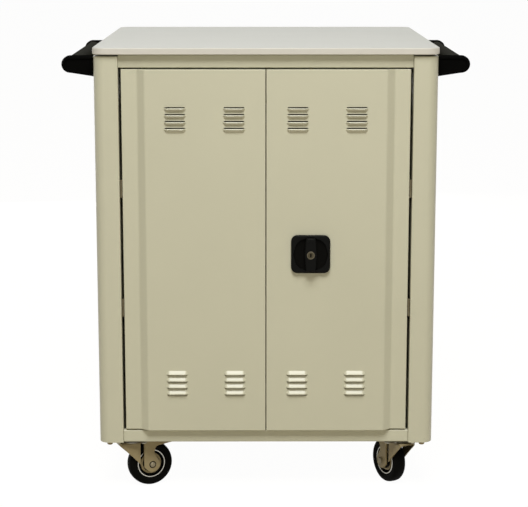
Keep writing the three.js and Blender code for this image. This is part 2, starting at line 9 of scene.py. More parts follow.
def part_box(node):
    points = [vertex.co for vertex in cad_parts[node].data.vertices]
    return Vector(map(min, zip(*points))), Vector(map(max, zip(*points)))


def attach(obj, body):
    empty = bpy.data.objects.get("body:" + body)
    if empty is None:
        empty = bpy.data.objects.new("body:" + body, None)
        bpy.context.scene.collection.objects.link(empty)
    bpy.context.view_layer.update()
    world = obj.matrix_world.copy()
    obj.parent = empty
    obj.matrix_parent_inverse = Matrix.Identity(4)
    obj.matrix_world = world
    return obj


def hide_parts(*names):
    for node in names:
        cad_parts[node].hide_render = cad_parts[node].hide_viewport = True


# Looks of a laptop charging cart: painted sheet steel, a board on top, black plastic handles and lock.
# Shapes are drawn in millimetres, with depths measured from the front faces of the posts.
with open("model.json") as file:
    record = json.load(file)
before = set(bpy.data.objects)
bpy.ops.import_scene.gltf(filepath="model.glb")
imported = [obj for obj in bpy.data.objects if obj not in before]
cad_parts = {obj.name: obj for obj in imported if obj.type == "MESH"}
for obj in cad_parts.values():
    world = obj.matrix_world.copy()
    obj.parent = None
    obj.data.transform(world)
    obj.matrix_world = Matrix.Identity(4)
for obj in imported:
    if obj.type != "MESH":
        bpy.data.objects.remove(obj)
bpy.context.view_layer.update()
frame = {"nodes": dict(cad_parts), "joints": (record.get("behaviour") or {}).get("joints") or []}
scene = bpy.context.scene
mm = 0.001
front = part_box("post_front_left")[0].y
to_cart = Matrix.Translation((0, front, 0)) @ Matrix.Scale(mm, 4)

# Sheet metal and fasteners
sheet = 1.5
edge_soft = 0.35
flat_margin = 1.25
clearance = 0.3


def span(node):
    """A node's lowest and highest corner in millimetres."""
    start = Vector((0, front, 0))
    low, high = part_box(node)
    return (low - start) / mm, (high - start) / mm


def joint_named(name):
    return next(joint for joint in frame["joints"] if joint["name"] == name)


# Node trees
class Value:
    """A socket that adds up and multiplies like a number."""

    def __init__(self, nodes, socket):
        self.nodes = nodes
        self.socket = socket

    def math(self, operation, *values):
        return self.nodes.node("ShaderNodeMath", {"operation": operation}, values)

    def __add__(self, other):
        return self.math("ADD", self, other)

    __radd__ = __add__

    def __sub__(self, other):
        return self.math("SUBTRACT", self, other)

    def __rsub__(self, other):
        return self.math("SUBTRACT", other, self)

    def __mul__(self, other):
        return self.math("MULTIPLY", self, other)

    __rmul__ = __mul__

    def __truediv__(self, other):
        return self.math("DIVIDE", self, other)

    def __rtruediv__(self, other):
        return self.math("DIVIDE", other, self)

    def __pow__(self, other):
        return self.math("POWER", self, other)

    def __abs__(self):
        return self.math("ABSOLUTE", self)

    def at_most(self, other):
        return self.math("MINIMUM", self, other)

    def at_least(self, other):
        return self.math("MAXIMUM", self, other)

    def sine(self):
        return self.math("SINE", self)


class Nodes:
    """Adds nodes to a tree and gives back their outputs."""

    def __init__(self, tree):
        self.tree = tree

    def feed(self, socket, value):
        if isinstance(value, Value):
            self.tree.links.new(value.socket, socket)
        else:
            socket.default_value = value

    def node(self, kind, settings=None, inputs=None, out=0):
        made = self.tree.nodes.new(kind)
        for name, value in (settings or {}).items():
            if name == "stops":
                ramp = made.color_ramp.elements
                while len(ramp) < len(value):
                    ramp.new(0.5)
                for element, (position, colour) in zip(ramp, value):
                    element.position = position
                    element.color = colour
            else:
                setattr(made, name, value)
        inputs = inputs or {}
        pairs = inputs.items() if isinstance(inputs, dict) else enumerate(inputs)
        for key, value in pairs:
            self.feed(made.inputs[key], value)
        return Value(self, made.outputs[out])

    def noise(self, place, size, detail=2.0, roughness=0.5):
        """Soft noise whose features are about this many millimetres across."""
        scale = 1 / (size * mm)
        inputs = {"Vector": place, "Scale": scale, "Detail": detail, "Roughness": roughness}
        return self.node("ShaderNodeTexNoise", {}, inputs, "Fac")

    def mix(self, share, first, second):
        return self.node("ShaderNodeMix", {"data_type": "RGBA"}, {0: share, 6: first, 7: second}, 2)

    def ramp(self, value, *stops):
        return self.node("ShaderNodeValToRGB", {"stops": stops}, {"Fac": value})

    def bump(self, height, strength, depth):
        inputs = {"Height": height, "Strength": strength, "Distance": depth * mm}
        return self.node("ShaderNodeBump", {}, inputs)


def srgb(red, green, blue):
    """A colour given as screen values from 0 to 255."""
    share = [part / 255 for part in (red, green, blue)]
    linear = [s / 12.92 if s <= 0.04045 else ((s + 0.055) / 1.055) ** 2.4 for s in share]
    return (*linear, 1)


def grey(level):
    return (level, level, level, 1)


# Finishes
def finish(name, paint, **constants):
    """A material: paint returns what varies over the surface, and the constants go on the shader's sockets."""
    made = bpy.data.materials.new(name)
    made.use_nodes = True
    nodes = Nodes(made.node_tree)
    shader = made.node_tree.nodes["Principled BSDF"]
    place = nodes.node("ShaderNodeTexCoord", out="Object")
    sockets = {socket.replace("_", " "): value for socket, value in constants.items()}
    for socket, value in {**sockets, **paint(nodes, place)}.items():
        nodes.feed(shader.inputs[socket], value)
    return made


def cream_paint():
    """Powder coat: a fine orange peel under a soft sheen, and faint clouds in the colour."""

    def paint(nodes, place):
        clouds = nodes.noise(place, 260, 2)
        peel = nodes.noise(place, 2.2, 1)
        grain = nodes.noise(place, 0.5, 1)
        return {
            "Base Color": nodes.mix(clouds, srgb(190, 188, 166), srgb(196, 194, 172)),
            "Roughness": 0.3 + 0.06 * clouds,
            "Normal": nodes.bump(peel + 0.3 * grain, 0.12, 0.12),
        }

    return finish("cream_powder_coat", paint, Specular_IOR_Level=0.4)


def laminate():
    """Melamine face of the board: almost plain, with a very fine grain."""

    def paint(nodes, place):
        clouds = nodes.noise(place, 180, 3)
        grain = nodes.noise(place, 1.2, 2)
        return {
            "Base Color": nodes.mix(clouds, srgb(190, 191, 186), srgb(195, 196, 191)),
            "Roughness": 0.6 + 0.1 * grain,
            "Normal": nodes.bump(grain, 0.06, 0.08),
        }

    return finish("melamine_face", paint, Specular_IOR_Level=0.08)


def edge_band():
    """Glued edging of the board, a little warmer than its face."""

    def paint(nodes, place):
        streaks = nodes.noise(place, 30, 2)
        return {
            "Base Color": nodes.mix(streaks, srgb(202, 199, 191), srgb(207, 204, 197)),
            "Roughness": 0.42 + 0.08 * streaks,
        }

    return finish("board_edging", paint, Specular_IOR_Level=0.35)


def moulded(name, dark, light, rough, gloss):
    """Moulded plastic with a fine spark-eroded grain."""

    def paint(nodes, place):
        grain = nodes.noise(place, 0.7, 2)
        clouds = nodes.noise(place, 40, 2)
        return {
            "Base Color": nodes.mix(clouds, dark, light),
            "Roughness": rough + 0.12 * grain,
            "Normal": nodes.bump(grain, 0.25, 0.06),
        }

    return finish(name, paint, Specular_IOR_Level=gloss)


def plated(name, pale, brown, metallic):
    """Plated steel, its passivation drifting from grey to a yellowish brown."""

    def paint(nodes, place):
        drift = nodes.noise(place, 22, 3, 0.6)
        grain = nodes.noise(place, 1.5, 3)
        return {
            "Base Color": nodes.mix(drift, pale, brown),
            "Roughness": 0.3 + 0.2 * grain,
            "Normal": nodes.bump(grain, 0.12, 0.05),
        }

    return finish(name, paint, Metallic=metallic, Specular_IOR_Level=0.2)


def tyre_rubber():
    """Black tyre with a dusty bloom."""

    def paint(nodes, place):
        dust = nodes.noise(place, 9, 4, 0.65)
        grain = nodes.noise(place, 0.8, 2)
        return {
            "Base Color": nodes.mix(dust, srgb(5, 5, 4), srgb(10, 10, 8)),
            "Roughness": 0.55 + 0.25 * dust,
            "Normal": nodes.bump(grain, 0.2, 0.08),
        }

    return finish("tyre_rubber", paint, Specular_IOR_Level=0.03)


finishes = {
    "cream_paint": cream_paint(),
    "laminate": laminate(),
    "black_plastic": moulded("black_moulding", srgb(9, 9, 9), srgb(12, 12, 11), 0.4, 0),
    "grey_plastic": moulded("grip_moulding", srgb(50, 50, 47), srgb(56, 56, 52), 0.7, 0),
    "zinc": plated("passivated_zinc", srgb(160, 147, 114), srgb(134, 119, 86), 0.06),
    "steel": plated("bright_steel", srgb(168, 165, 152), srgb(146, 140, 122), 0.5),
    "rubber": tyre_rubber(),
}
board_edging = edge_band()
strip_plastic = moulded("strip_moulding", srgb(104, 104, 101), srgb(114, 114, 110), 0.5, 0.2)
axle_steel = plated("axle_steel", srgb(150, 141, 118), srgb(118, 108, 84), 0.3)
hinge_steel = plated("hinge_steel", srgb(112, 104, 84), srgb(88, 80, 60), 0.3)
lock_plastic = moulded("lock_moulding", srgb(11, 11, 10), srgb(15, 15, 14), 0.42, 0.05)
lock_bronze = plated("lock_bronze", srgb(78, 72, 56), srgb(60, 54, 38), 0.5)
lock_ring = plated("lock_ring", srgb(108, 102, 88), srgb(88, 80, 62), 0.4)
# Dark zinc as painted shade: the caster top plates under the rail and the inner faces of the forks
plate_zinc = plated("plate_zinc", srgb(66, 60, 46), srgb(48, 42, 30), 0.1)
bright_ring = plated("bright_ring", srgb(214, 212, 204), srgb(190, 186, 174), 0.8)
# Near-black moulding used as painted shade: in the wheel centre's hollows, the ring round the axle head, the lock's
# dish and its keyway
painted_shade_black = moulded("wheel_core", srgb(6, 6, 5), srgb(11, 10, 8), 0.5, 0.03)


# Outlines and lofts
def plan(u, v, w):
    return Vector((u, v, w))


def facing(u, v, w):
    return Vector((u, w, v))


def sideways(u, v, w):
    return Vector((w, u, v))


def rounded(points, radii, closed=True, steps=6):
    """An outline with each corner turned into an arc of its radius."""
    points = [Vector(point) for point in points]
    count = len(points)
    outline = []
    for i, (here, radius) in enumerate(zip(points, radii)):
        if not radius or not closed and i in (0, count - 1):
            outline.append(here)
            continue
        back = (points[i - 1] - here).normalized()
        ahead = (points[(i + 1) % count] - here).normalized()
        half = back.angle(ahead) / 2
        centre = here + (back + ahead).normalized() * (radius / math.sin(half))
        reach = radius / math.tan(half)
        start = here + back * reach - centre
        end = here + ahead * reach - centre
        first = math.atan2(start.y, start.x)
        turn = (math.atan2(end.y, end.x) - first + math.pi) % math.tau - math.pi
        for step in range(steps + 1):
            angle = first + turn * step / steps
            outline.append(centre + radius * Vector((math.cos(angle), math.sin(angle))))
    return outline


def rectangle(width, height, radius, centre=(0, 0), steps=8):
    x, y = width / 2, height / 2
    corners = [Vector(c) + Vector(centre) for c in ((-x, -y), (x, -y), (x, y), (-x, y))]
    return rounded(corners, [radius] * 4, steps=steps)


def offset(path, depth, closed=False):
    """The path moved to its left by a depth, with mitred corners."""
    count = len(path)
    moved = []
    for i, here in enumerate(path):
        sides = []
        if closed or i > 0:
            sides.append(here - path[i - 1])
        if closed or i < count - 1:
            sides.append(path[(i + 1) % count] - here)
        total = sum((Vector((-s.y, s.x)).normalized() for s in sides), Vector((0, 0)))
        moved.append(here + total * (len(sides) * depth / max(total.length_squared, 0.1)))
    return moved


def counter_clockwise(outline):
    area = sum(a.x * b.y - b.x * a.y for a, b in zip(outline, outline[1:] + outline[:1]))
    return outline if area > 0 else outline[::-1]


def edge_rows(low, high, low_round, high_round, steps=4):
    """Pairs of inset and level for a wall whose first and last edges are rounded."""
    turns = [math.pi / 2 * step / steps for step in range(steps + 1)]
    rows = [(low_round * (1 - math.sin(t)), low + low_round * (1 - math.cos(t))) for t in turns]
    ends = [(high_round * (1 - math.sin(t)), high - high_round * (1 - math.cos(t))) for t in turns]
    first = rows if low_round else [(0, low)]
    return first + (ends[::-1] if high_round else [(0, high)])


def loft(bm, loops, ring=False, caps=True):
    """Skins closed loops of points, one to the next."""
    rows = [[bm.verts.new(point) for point in loop] for loop in loops]
    pairs = list(zip(rows, rows[1:] + rows[:1]))
    for low, high in pairs if ring else pairs[:-1]:
        for i in range(len(low)):
            j = (i + 1) % len(low)
            bm.faces.new((low[i], low[j], high[j], high[i]))
    if caps and not ring:
        bm.faces.new(rows[0])
        bm.faces.new(rows[-1])


def slab(bm, outline, low, high, low_round=0.0, high_round=0.0, place=plan, steps=4):
    """A solid of this outline with its two rims rounded."""
    outline = counter_clockwise(outline)
    rows = edge_rows(low, high, low_round, high_round, steps)
    first = [(low_round * flat_margin, low)] if low_round else []
    last = [(high_round * flat_margin, high)] if high_round else []
    rows = first + rows + last
    loft(bm, [[place(*p, level) for p in offset(outline, inset, True)] for inset, level in rows])


def turned(bm, profile, centre=(0, 0, 0), place=plan, sides=48, ring=False):
    """A solid of revolution: the profile gives radius and place along the axis."""
    angles = [math.tau * k / sides for k in range(sides)]
    loops = [
        [Vector(centre) + place(r * math.cos(a), r * math.sin(a), along) for a in angles]
        for r, along in profile
    ]
    loft(bm, loops, ring=ring)


def split(path, axis, values):
    """The path with a point wherever it passes one of the values along an axis."""
    points = [path[0]]
    for a, b in zip(path, path[1:]):
        run = b[axis] - a[axis]
        shares = sorted((value - a[axis]) / run for value in values) if abs(run) > 1e-6 else []
        points += [a.lerp(b, share) for share in shares if 1e-6 < share < 1 - 1e-6]
        points.append(b)
    return points


def within(point, cut):
    return all(low < value < high for value, (low, high) in zip(point, cut))


def folded(path, rows, place=plan, cuts=(), caps=False, wall=sheet):
    """Sheet metal: the path is the outer side of its section, with the outside on the right.

    Each row has an inset and a level. Cells inside a cut stay open.
    """
    bm = bmesh.new()
    loops = [[bm.verts.new(place(*p, level)) for p in offset(path, inset)] for inset, level in rows]
    turn = -1 if place is facing else 1
    for j in range(len(rows) - 1):
        level = (rows[j][1] + rows[j + 1][1]) / 2
        for i in range(len(path) - 1):
            middle = (path[i] + path[i + 1]) / 2
            if any(within((*middle, level), cut) for cut in cuts):
                continue
            bm.faces.new((loops[j][i], loops[j][i + 1], loops[j + 1][i + 1], loops[j + 1][i])[::turn])
    if caps:
        bm.faces.new(loops[0][::-turn])
        bm.faces.new(loops[-1][::turn])
    thicken = {"thickness": wall, "offset": -1, "use_even_offset": True, "use_quality_normals": True}
    soften = {"width": edge_soft, "segments": 2, "limit_method": "ANGLE", "angle_limit": math.radians(50)}
    return evaluated(bm, ("SOLIDIFY", thicken), ("BEVEL", soften))


def levels(*values):
    return [(0, value) for value in sorted(values)]


def evaluated(bm, *modifiers):
    """The mesh after its modifiers, each given by its type and settings."""
    mesh = bpy.data.meshes.new("working")
    bm.to_mesh(mesh)
    bm.free()
    obj = bpy.data.objects.new("working", mesh)
    scene.collection.objects.link(obj)
    for kind, settings in modifiers:
        modifier = obj.modifiers.new(kind, kind)
        for name, value in settings.items():
            setattr(modifier, name, value)
    return taken(obj)


def taken(obj):
    """The evaluated mesh of a working object, which is then removed."""
    result = bpy.data.meshes.new_from_object(obj.evaluated_get(bpy.context.evaluated_depsgraph_get()))
    bm = bmesh.new()
    bm.from_mesh(result)
    obj.modifiers.clear()
    mesh = obj.data
    bpy.data.objects.remove(obj)
    bpy.data.meshes.remove(mesh)
    bpy.data.meshes.remove(result)
    return bm


def carved(bm, cutter):
    """The first solid less the second."""
    tool = bpy.data.meshes.new("cutter")
    bmesh.ops.recalc_face_normals(cutter, faces=cutter.faces)
    cutter.to_mesh(tool)
    cutter.free()
    blade = bpy.data.objects.new("cutter", tool)
    scene.collection.objects.link(blade)
    bmesh.ops.recalc_face_normals(bm, faces=bm.faces)
    cut = evaluated(bm, ("BOOLEAN", {"operation": "DIFFERENCE", "object": blade, "solver": "EXACT"}))
    bpy.data.objects.remove(blade)
    bpy.data.meshes.remove(tool)
    return cut


def softened(node, width):
    """A copy of a CAD node with its edges rounded."""
    bm = bmesh.new()
    bm.from_mesh(frame["nodes"][node].data)
    bmesh.ops.transform(bm, matrix=to_cart.inverted(), verts=bm.verts)
    bmesh.ops.remove_doubles(bm, verts=bm.verts, dist=0.01)
    flat = math.radians(1)
    bmesh.ops.dissolve_limit(bm, angle_limit=flat, verts=bm.verts, edges=bm.edges)
    soften = {"width": width, "segments": 2, "limit_method": "ANGLE", "angle_limit": math.radians(30)}
    return evaluated(bm, ("BEVEL", soften))


def joined(*meshes):
    """One working mesh of several."""
    whole = bmesh.new()
    for bm in meshes:
        mesh = bpy.data.meshes.new("working")
        bm.to_mesh(mesh)
        bm.free()
        whole.from_mesh(mesh)
        bpy.data.meshes.remove(mesh)
    return whole


def even_normals(obj):
    """Lets large faces rule the normals, so that flat sheet stays flat next to its folds."""
    modifier = obj.modifiers.new("Even", "WEIGHTED_NORMAL")
    modifier.keep_sharp = True
    shaped = bpy.data.meshes.new_from_object(obj.evaluated_get(bpy.context.evaluated_depsgraph_get()))
    obj.modifiers.clear()
    plain = obj.data
    name = plain.name
    obj.data = shaped
    bpy.data.meshes.remove(plain)
    shaped.name = name


def piece(name, bm, slot, body, nodes=(), also=(), crease=25, place=None, paint=None):
    """Puts a finished mesh on the cart: its finish, the nodes it stands for and the body it moves with."""
    if place is not None:
        bmesh.ops.transform(bm, matrix=place, verts=bm.verts)
    bmesh.ops.remove_doubles(bm, verts=bm.verts, dist=0.002)
    bmesh.ops.recalc_face_normals(bm, faces=bm.faces)
    mesh = bpy.data.meshes.new(name)
    bm.to_mesh(mesh)
    bm.free()
    mesh.transform(to_cart)
    mesh.polygons.foreach_set("use_smooth", [True] * len(mesh.polygons))
    mesh.set_sharp_from_angle(angle=math.radians(crease))
    for material in (paint or finishes[slot], *also):
        mesh.materials.append(material)
    obj = bpy.data.objects.new(name, mesh)
    scene.collection.objects.link(obj)
    even_normals(obj)
    if nodes:
        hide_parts(*nodes)
    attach(obj, body)
    return obj


# What repeats is grown on points by geometry nodes
def growth(name, sizes, shape_of):
    """A tree that sets one shape on every point: its sizes are the tree's inputs."""
    tree = bpy.data.node_groups.new(name, "GeometryNodeTree")
    tree.interface.new_socket("Points", in_out="INPUT", socket_type="NodeSocketGeometry")
    for size in sizes:
        tree.interface.new_socket(size, in_out="INPUT", socket_type="NodeSocketFloat")
    tree.interface.new_socket("Finish", in_out="INPUT", socket_type="NodeSocketMaterial")
    tree.interface.new_socket("Result", in_out="OUTPUT", socket_type="NodeSocketGeometry")
    nodes = Nodes(tree)
    entry = tree.nodes.new("NodeGroupInput")
    given = {socket.name: Value(nodes, socket) for socket in entry.outputs if socket.name}
    shape = shape_of(nodes, given)
    spread = nodes.node("GeometryNodeInstanceOnPoints", {}, {"Points": given["Points"], "Instance": shape})
    real = nodes.node("GeometryNodeRealizeInstances", {}, {"Geometry": spread})
    done = nodes.node("GeometryNodeSetMaterial", {}, {"Geometry": real, "Material": given["Finish"]})
    tree.links.new(done.socket, tree.nodes.new("NodeGroupOutput").inputs[0])
    return tree


def grown(tree, points, slot, sizes, stand=Matrix.Identity(4)):
    """The mesh that a tree grows on these points, stood up by a matrix."""
    carrier = bpy.data.meshes.new("carrier")
    carrier.from_pydata([tuple(p) for p in points], [], [])
    obj = bpy.data.objects.new("carrier", carrier)
    scene.collection.objects.link(obj)
    modifier = obj.modifiers.new("Growth", "NODES")
    modifier.node_group = tree
    for socket in tree.interface.items_tree:
        if socket.name in sizes:
            modifier[socket.identifier] = float(sizes[socket.name])
        elif socket.name == "Finish":
            modifier[socket.identifier] = finishes[slot]
    bm = taken(obj)
    bmesh.ops.transform(bm, matrix=stand, verts=bm.verts)
    return bm


def axes(u, v, w, origin=(0, 0, 0)):
    """A matrix that lays the first three axes along these directions."""
    matrix = Matrix((u, v, w)).transposed().to_4x4()
    matrix.translation = Vector(origin)
    return matrix


def louvre_hood(nodes, given):
    """A pressed hood: it rises from a round foot to an open lip with a rolled edge."""
    columns, rows = 53, 25
    bead_slope = 1.15
    grid = nodes.node("GeometryNodeMeshGrid", {}, {
        "Size X": given["Width"], "Size Y": given["Height"], "Vertices X": columns, "Vertices Y": rows,
    })
    spot = nodes.node("GeometryNodeInputPosition")
    apart = nodes.node("ShaderNodeSeparateXYZ", {}, {0: spot})
    up = Value(nodes, apart.socket.node.outputs[1])
    to_end = 1 - ((given["Width"] / 2 - abs(apart)) / given["End"]).at_most(1)
    to_lip = (0.5 - up / given["Height"]).at_least(0)
    slope = given["Rise"] * (1 - to_end ** 2 - to_lip ** 1.3)
    past_bead = (up - 0.5 * given["Height"] + given["Bead"]).at_least(0)
    lift = nodes.node("ShaderNodeCombineXYZ", {}, {2: (slope - bead_slope * past_bead).at_least(0)})
    return nodes.node("GeometryNodeSetPosition", {}, {"Geometry": grid, "Offset": lift})


def hex_bolt(nodes, given):
    """A hexagon head with a chamfered face, on a washer."""
    washer = nodes.node("GeometryNodeMeshCylinder", {}, {
        "Vertices": 28, "Radius": given["Washer"], "Depth": given["Washer Height"],
    })
    on_plate = nodes.node("ShaderNodeCombineXYZ", {}, {2: given["Washer Height"] / 2})
    washer = nodes.node("GeometryNodeTransform", {}, {"Geometry": washer, "Translation": on_plate})
    head_height = given["Height"] * 0.72
    head = nodes.node("GeometryNodeMeshCylinder", {}, {
        "Vertices": 6, "Radius": given["Radius"], "Depth": head_height,
    })
    on_washer = nodes.node("ShaderNodeCombineXYZ", {}, {2: given["Washer Height"] + head_height / 2})
    head = nodes.node("GeometryNodeTransform", {}, {"Geometry": head, "Translation": on_washer})
    crown = nodes.node("GeometryNodeMeshCone", {}, {
        "Vertices": 6, "Radius Top": given["Radius"] * 0.82, "Radius Bottom": given["Radius"],
        "Depth": given["Height"] * 0.28,
    })
    on_head = nodes.node("ShaderNodeCombineXYZ", {}, {2: given["Washer Height"] + head_height})
    crown = nodes.node("GeometryNodeTransform", {}, {"Geometry": crown, "Translation": on_head})
    whole = nodes.node("GeometryNodeJoinGeometry", {}, {0: washer})
    for part in (head, crown):
        nodes.tree.links.new(part.socket, whole.socket.node.inputs[0])
    return whole


def pan_screw(nodes, given):
    """A low round head with a cross recess."""
    head = nodes.node("GeometryNodeMeshCone", {}, {
        "Vertices": 32, "Radius Top": given["Radius"] * 0.78, "Radius Bottom": given["Radius"],
        "Depth": given["Height"],
    })
    for long_way, short_way in ((1.1, 0.26), (0.26, 1.1)):
        size = nodes.node("ShaderNodeCombineXYZ", {}, {
            0: given["Radius"] * long_way, 1: given["Radius"] * short_way, 2: given["Height"],
        })
        blade = nodes.node("GeometryNodeMeshCube", {}, {"Size": size})
        depth = nodes.node("ShaderNodeCombineXYZ", {}, {2: given["Height"]})
        blade = nodes.node("GeometryNodeTransform", {}, {"Geometry": blade, "Translation": depth})
        settings = {"operation": "DIFFERENCE", "solver": "EXACT"}
        head = nodes.node("GeometryNodeMeshBoolean", settings, {"Mesh 1": head, "Mesh 2": blade})
    return head


def mains_socket(nodes, given):
    """A round socket: a raised rim, a sunk floor and two pin holes."""
    body = nodes.node("GeometryNodeMeshCylinder", {}, {
        "Vertices": 48, "Radius": given["Radius"], "Depth": given["Height"] * 2,
    })
    settings = {"operation": "DIFFERENCE", "solver": "EXACT"}
    well = nodes.node("GeometryNodeMeshCylinder", {}, {
        "Vertices": 48, "Radius": given["Radius"] * 0.9, "Depth": given["Height"] * 1.6,
    })
    lift = nodes.node("ShaderNodeCombineXYZ", {}, {2: given["Height"]})
    well = nodes.node("GeometryNodeTransform", {}, {"Geometry": well, "Translation": lift})
    body = nodes.node("GeometryNodeMeshBoolean", settings, {"Mesh 1": body, "Mesh 2": well})
    for side in (-1, 1):
        pin = nodes.node("GeometryNodeMeshCylinder", {}, {
            "Vertices": 20, "Radius": given["Pin"], "Depth": given["Height"] * 2,
        })
        place = nodes.node("ShaderNodeCombineXYZ", {}, {0: given["Spacing"] * (side / 2)})
        pin = nodes.node("GeometryNodeTransform", {}, {"Geometry": pin, "Translation": place})
        body = nodes.node("GeometryNodeMeshBoolean", settings, {"Mesh 1": body, "Mesh 2": pin})
    return body


louvre_tree = growth("louvre_hoods", ("Width", "Height", "Rise", "End", "Bead"), louvre_hood)
bolt_tree = growth("hex_bolts", ("Radius", "Height", "Washer", "Washer Height"), hex_bolt)
screw_tree = growth("pan_screws", ("Radius", "Height"), pan_screw)
socket_tree = growth("mains_sockets", ("Radius", "Height", "Pin", "Spacing"), mains_socket)


# Sizes of the cart, read from the frame
post_low, post_high = span("post_front_left")
half_width = -post_low.x
open_half = -post_high.x
body_depth = span("post_rear_left")[1].y
frame_bottom = post_low.z
pan_low, pan_high = span("base_pan")
header_low, header_high = span("front_header")
rear_low, rear_high = span("rear_panel")
door_low, door_high = span("door_right")
post_corner = 25


def worktop():
    """Board with rounded corners, its rim edged all round."""
    corner, round_over = 30, 2.2
    low, high = span("worktop")
    size = high - low
    bm = bmesh.new()
    outline = rectangle(size.x, size.y, corner, (0, (low.y + high.y) / 2), 12)
    slab(bm, outline, low.z, high.z, round_over, round_over)
    bmesh.ops.recalc_face_normals(bm, faces=bm.faces)
    for face in bm.faces:
        face.material_index = int(abs(face.normal.z) < 0.6)
    piece("worktop_board", bm, "laminate", "cabinet", ["worktop"], [board_edging])


def posts():
    """Corner posts: the outer corner is wide and round, the others are tight folds."""
    fold, rim = 2.5, 0.8
    width = open_half
    for name, side_x, rear in (
        ("post_front_left", -1, False), ("post_front_right", 1, False),
        ("post_rear_left", -1, True), ("post_rear_right", 1, True),
    ):
        outer_y = body_depth if rear else 0
        inner_y = body_depth - (half_width - width) if rear else half_width - width
        corners = [
            (side_x * half_width, outer_y), (side_x * width, outer_y),
            (side_x * width, inner_y), (side_x * half_width, inner_y),
        ]
        bm = bmesh.new()
        outline = rounded(corners, [post_corner, fold, fold, fold], steps=14)
        slab(bm, outline, frame_bottom, post_high.z, rim, rim)
        piece(f"{name}_tube", bm, "cream_paint", "cabinet", [name])


# The slots in rail, header and door that the lock rods pass
rod_low, rod_high = span("lock_rod_upper")
rod_play = 1.5
rod_slot = (
    (rod_low.x - rod_play, rod_high.x + rod_play),
    (rod_low.y - rod_play, rod_high.y + rod_play),
)


def headers():
    """Headers under the board: a face, a ledge on top and a narrow return below."""
    fold, lip = 2.5, 14
    half = header_high.x
    for name, rear in (("front_header", False), ("rear_header", True)):
        low, high = span(name)
        face, ledge = (low.y, high.y) if not rear else (high.y, low.y)
        inward = -1 if rear else 1
        path = [(ledge, high.z), (face, high.z), (face, low.z), (face + inward * lip, low.z)]
        path = rounded(path, [0, fold, fold, 0], closed=False)
        path = path[::-1] if rear else path
        path = split(path, 0, rod_slot[1])
        cut = (rod_slot[1], (low.z - 1, low.z + 1), rod_slot[0])
        cuts = [] if rear else [cut]
        bm = folded(path, levels(-half, *rod_slot[0], half), sideways, cuts)
        piece(f"{name}_channel", bm, "cream_paint", "cabinet", [name])


def base_pan():
    """Floor pan: its front and rear edges stand up and turn in, and its wings reach the side panels."""
    fold, lip, wing_lap = 3, 14, 6
    half = open_half - clearance
    low, high = pan_low, pan_high
    path = [
        (low.y + lip, high.z), (low.y, high.z), (low.y, low.z),
        (high.y, low.z), (high.y, high.z), (high.y - lip, high.z),
    ]
    path = split(rounded(path, [0, fold, fold, fold, fold, 0], closed=False), 0, rod_slot[1])
    cut = (rod_slot[1], (high.z - 1, high.z + 1), rod_slot[0])
    tray = folded(path, levels(-half, *rod_slot[0], half), sideways, [cut])
    post_depth = half_width - open_half
    wings = bmesh.new()
    for side in (-1, 1):
        inner, outer = side * (half + 0.05), side * high.x
        outline = [(inner, post_depth + 1), (outer, post_depth + 1), (outer, body_depth - post_depth - 1),
                   (inner, body_depth - post_depth - 1)]
        slab(wings, [Vector(p) for p in outline], low.z, low.z + sheet, 0.5, 0.5)
        flange = [(outer - side * sheet, low.z + sheet), (outer, low.z + sheet), (outer, high.z),
                  (outer - side * sheet, high.z)]
        slab(wings, [Vector(p) for p in flange], post_depth + 1, body_depth - post_depth - 1, 0, 0, facing)
    piece("base_pan_tray", joined(tray, wings), "cream_paint", "cabinet", ["base_pan"])


def side_panels():
    """Side panels between the posts, turned in under the board."""
    fold = 2.5
    for name, side in (("side_panel_left", -1), ("side_panel_right", 1)):
        low, high = span(name)
        face, ledge = (low.x, high.x) if side < 0 else (high.x, low.x)
        path = [(face, low.z), (face, high.z), (ledge, high.z)]
        path = rounded(path, [0, fold, 0], closed=False)
        path = path[::-1] if side < 0 else path
        middle = (low.y + high.y) / 2
        bm = folded(path, levels(low.y, middle, high.y), facing)
        piece(f"{name}_sheet", bm, "cream_paint", "cabinet", [name])


# Louvres
louvre_width, hood_height, lip_gap, louvre_rise = 52, 10.2, 2.4, 6.6
louvre_pitch, louvre_count = 16, 4
louvre_end, louvre_bead, louvre_wall, slit_inset = 8, 1.7, 1.2, 2.6
louvre_columns = (74, 211)
upper_louvre_z = door_high.z - 116.5
lower_louvre_z = door_low.z + 117.5
hood_sizes = {
    "Width": louvre_width, "Height": hood_height, "Rise": louvre_rise, "End": louvre_end, "Bead": louvre_bead,
}


def louvre_levels(centre):
    return [centre + (i - (louvre_count - 1) / 2) * louvre_pitch for i in range(louvre_count)]


def windows(columns, heights, face, opening):
    """The cuts in the sheet behind louvres: one under each hood, and a narrower slit at its lip."""
    wide = louvre_width / 2
    depth = (face - 1, face + 1)
    cuts = []
    for x in columns:
        for z in heights:
            foot = z - opening * (hood_height + lip_gap) / 2
            lip = foot + opening * hood_height
            cuts.append(((x - wide, x + wide), depth, tuple(sorted((foot, lip)))))
            slit = tuple(sorted((lip, lip + opening * lip_gap)))
            cuts.append(((x - wide + slit_inset, x + wide - slit_inset), depth, slit))
    return cuts


def hoods(columns, heights, face, out, opening):
    """Louvre hoods that stand out of a sheet and open up (1) or down (-1)."""
    across = out * opening
    points = [(-across * x, opening * z - lip_gap / 2, 0) for x in columns for z in heights]
    stand = axes((-across, 0, 0), (0, 0, opening), (0, out, 0), (0, face, 0))
    bm = grown(louvre_tree, points, "cream_paint", hood_sizes, stand)
    return evaluated(bm, ("SOLIDIFY", {"thickness": louvre_wall, "offset": -1}))


